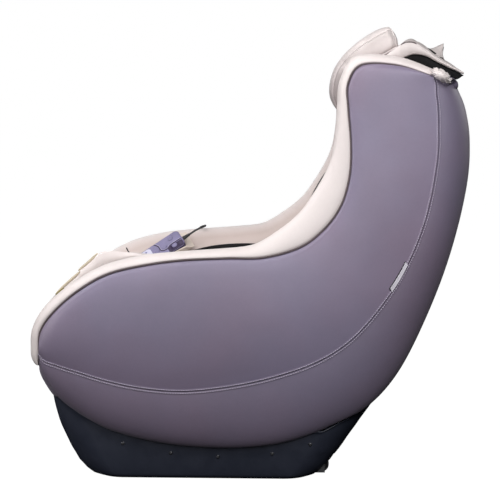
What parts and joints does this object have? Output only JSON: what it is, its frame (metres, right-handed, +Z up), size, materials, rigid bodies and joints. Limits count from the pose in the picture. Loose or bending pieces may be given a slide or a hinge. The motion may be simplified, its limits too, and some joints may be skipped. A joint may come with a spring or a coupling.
{
  "type": "massage chair",
  "caption": "Compact massage chair: upholstered kidney-shaped body on a moulded base, with a roller carriage that climbs an arc-shaped track behind its pads.",
  "frame": {"origin": "middle of the footprint box at floor level, without the handset's cord", "axes": "+Z up, -Y is the way the sitter faces, +X is the chair's own left side"},
  "size_m": [0.7066, 1.0046, 1.031],
  "materials": {
    "grey_leather": "semi-matt, fine grain",
    "cream_leather": "semi-matt, fine grain",
    "pillow_leather": "semi-matt, fine grain",
    "plywood": "raw",
    "dust_cloth": "woven nylon",
    "zip": "matt",
    "label_tape": "satin woven tape",
    "base_plastic": "fine spark texture",
    "screw_steel": "black zinc",
    "frame_steel": "powder coated",
    "wheel_plastic": "matt",
    "rail_steel": "zinc plated",
    "rack_nylon": "moulded",
    "carriage_paint": "powder coated",
    "motor_paint": "painted",
    "gearbox_aluminium": "die cast",
    "shaft_steel": "ground",
    "arm_plastic": "glass-filled nylon",
    "roller_rubber": "smooth",
    "electrics_plastic": "matt",
    "rocker_plastic": "gloss",
    "handset_plastic": "satin",
    "handset_face": "satin",
    "button_plastic": "satin",
    "cord_rubber": "matt"
  },
  "bodies": {
    "root": {"side_cover_left": "grey_leather", "side_cover_right": "grey_leather", "rear_cover": "grey_leather", "rim_left": "cream_leather", "rim_right": "cream_leather", "side_shell_left": "plywood", "side_shell_right": "plywood", "seat_pad": "cream_leather", "seat_flap": "cream_leather", "back_pad": "cream_leather", "front_apron": "cream_leather", "crest_panel": "cream_leather", "dust_cover": "dust_cloth", "crest_flap": "cream_leather", "zip_fastener": "zip", "care_label": "label_tape", "base_tub": "base_plastic", "base_screws": "screw_steel", "base_frame": "frame_steel", "rail_supports": "frame_steel", "wheel_brackets": "frame_steel", "guide_rail_left": "rail_steel", "guide_rail_right": "rail_steel", "rack_left": "rack_nylon", "rack_right": "rack_nylon", "control_box": "electrics_plastic", "power_supply": "electrics_plastic", "inlet_housing": "base_plastic", "handset_shell": "handset_plastic", "handset_face": "handset_face", "handset_pocket": "cream_leather", "handset_strain_relief": "cord_rubber", "handset_cord": "cord_rubber", "cord_gland": "cord_rubber"},
    "wheel_left": {"transport_wheel_left": "wheel_plastic"},
    "wheel_right": {"transport_wheel_right": "wheel_plastic"},
    "pillow": {"head_pillow": "pillow_leather"},
    "carriage": {"carriage_frame": "carriage_paint", "travel_motor": "motor_paint", "knead_gearbox": "gearbox_aluminium", "knead_motor": "motor_paint"},
    "pinion_shaft": {"travel_pinion_shaft": "shaft_steel"},
    "upper_axle": {"guide_axle_upper": "shaft_steel"},
    "lower_axle": {"guide_axle_lower": "shaft_steel"},
    "knead_shaft": {"knead_shaft": "shaft_steel"},
    "arm_left": {"massage_arm_left": "arm_plastic"},
    "arm_right": {"massage_arm_right": "arm_plastic"},
    "roller_left_upper": {"roller_left_upper": "roller_rubber"},
    "roller_left_lower": {"roller_left_lower": "roller_rubber"},
    "roller_right_upper": {"roller_right_upper": "roller_rubber"},
    "roller_right_lower": {"roller_right_lower": "roller_rubber"},
    "power_rocker": {"rocker_switch": "rocker_plastic"},
    "power_button_key": {"power_button": "button_plastic"},
    "mode_button_key": {"mode_button": "button_plastic"},
    "up_button_key": {"up_button": "button_plastic"},
    "down_button_key": {"down_button": "button_plastic"},
    "timer_button_key": {"timer_button": "button_plastic"}
  },
  "joints": [
    {"name": "wheel_left_spin", "type": "hinge", "parent": "root", "child": "wheel_left", "pos_m": [0.206, 0.169, 0.027], "axis": [1, 0, 0], "continuous": true},
    {"name": "wheel_right_spin", "type": "hinge", "parent": "root", "child": "wheel_right", "pos_m": [-0.206, 0.169, 0.027], "axis": [1, 0, 0], "continuous": true},
    {"name": "pillow_flip", "type": "hinge", "parent": "root", "child": "pillow", "pos_m": [0, 0.352, 0.984], "axis": [1, 0, 0], "range_deg": [-95, 0]},
    {"name": "carriage_travel", "type": "hinge", "parent": "root", "child": "carriage", "pos_m": [0, -0.087, 0.815], "axis": [1, 0, 0], "range_deg": [-38, 40]},
    {"name": "pinion_spin", "type": "hinge", "parent": "carriage", "child": "pinion_shaft", "pos_m": [0, 0.27417, 0.4898], "axis": [1, 0, 0], "continuous": true},
    {"name": "upper_axle_spin", "type": "hinge", "parent": "carriage", "child": "upper_axle", "pos_m": [0, 0.28873, 0.57563], "axis": [1, 0, 0], "continuous": true},
    {"name": "lower_axle_spin", "type": "hinge", "parent": "carriage", "child": "lower_axle", "pos_m": [0, 0.19033, 0.46635], "axis": [1, 0, 0], "continuous": true},
    {"name": "knead_shaft_spin", "type": "hinge", "parent": "carriage", "child": "knead_shaft", "pos_m": [0, 0.24407, 0.5169], "axis": [1, 0, 0], "continuous": true},
    {"name": "arm_left_swing", "type": "hinge", "parent": "carriage", "child": "arm_left", "pos_m": [0.072, 0.24407, 0.5169], "axis": [1, 0, 0], "range_deg": [-5, 5]},
    {"name": "arm_right_swing", "type": "hinge", "parent": "carriage", "child": "arm_right", "pos_m": [-0.072, 0.24407, 0.5169], "axis": [1, 0, 0], "range_deg": [-5, 5]},
    {"name": "roller_left_upper_spin", "type": "hinge", "parent": "arm_left", "child": "roller_left_upper", "pos_m": [0.072, 0.24795, 0.578], "axis": [1, 0, 0], "continuous": true},
    {"name": "roller_left_lower_spin", "type": "hinge", "parent": "arm_left", "child": "roller_left_lower", "pos_m": [0.072, 0.18371, 0.50666], "axis": [1, 0, 0], "continuous": true},
    {"name": "roller_right_upper_spin", "type": "hinge", "parent": "arm_right", "child": "roller_right_upper", "pos_m": [-0.072, 0.24795, 0.578], "axis": [1, 0, 0], "continuous": true},
    {"name": "roller_right_lower_spin", "type": "hinge", "parent": "arm_right", "child": "roller_right_lower", "pos_m": [-0.072, 0.18371, 0.50666], "axis": [1, 0, 0], "continuous": true},
    {"name": "power_rocker_tilt", "type": "hinge", "parent": "root", "child": "power_rocker", "pos_m": [-0.103, 0.1925, 0.07], "axis": [1, 0, 0], "range_deg": [-12, 0]},
    {"name": "power_button_press", "type": "slide", "parent": "root", "child": "power_button_key", "axis": [-0.6694, 0.3393, -0.6609], "range_m": [0, 0.0012], "stiffness_N_per_m": 400, "springref_m": -0.0008},
    {"name": "mode_button_press", "type": "slide", "parent": "root", "child": "mode_button_key", "axis": [-0.6694, 0.3393, -0.6609], "range_m": [0, 0.0012], "stiffness_N_per_m": 400, "springref_m": -0.0008},
    {"name": "up_button_press", "type": "slide", "parent": "root", "child": "up_button_key", "axis": [-0.6694, 0.3393, -0.6609], "range_m": [0, 0.0012], "stiffness_N_per_m": 400, "springref_m": -0.0008},
    {"name": "down_button_press", "type": "slide", "parent": "root", "child": "down_button_key", "axis": [-0.6694, 0.3393, -0.6609], "range_m": [0, 0.0012], "stiffness_N_per_m": 400, "springref_m": -0.0008},
    {"name": "timer_button_press", "type": "slide", "parent": "root", "child": "timer_button_key", "axis": [-0.6694, 0.3393, -0.6609], "range_m": [0, 0.0012], "stiffness_N_per_m": 400, "springref_m": -0.0008}
  ],
  "couplings": [
    {"joint": "pinion_spin", "follows": "carriage_travel", "ratio": 26},
    {"joint": "arm_right_swing", "follows": "arm_left_swing", "ratio": -1}
  ]
}
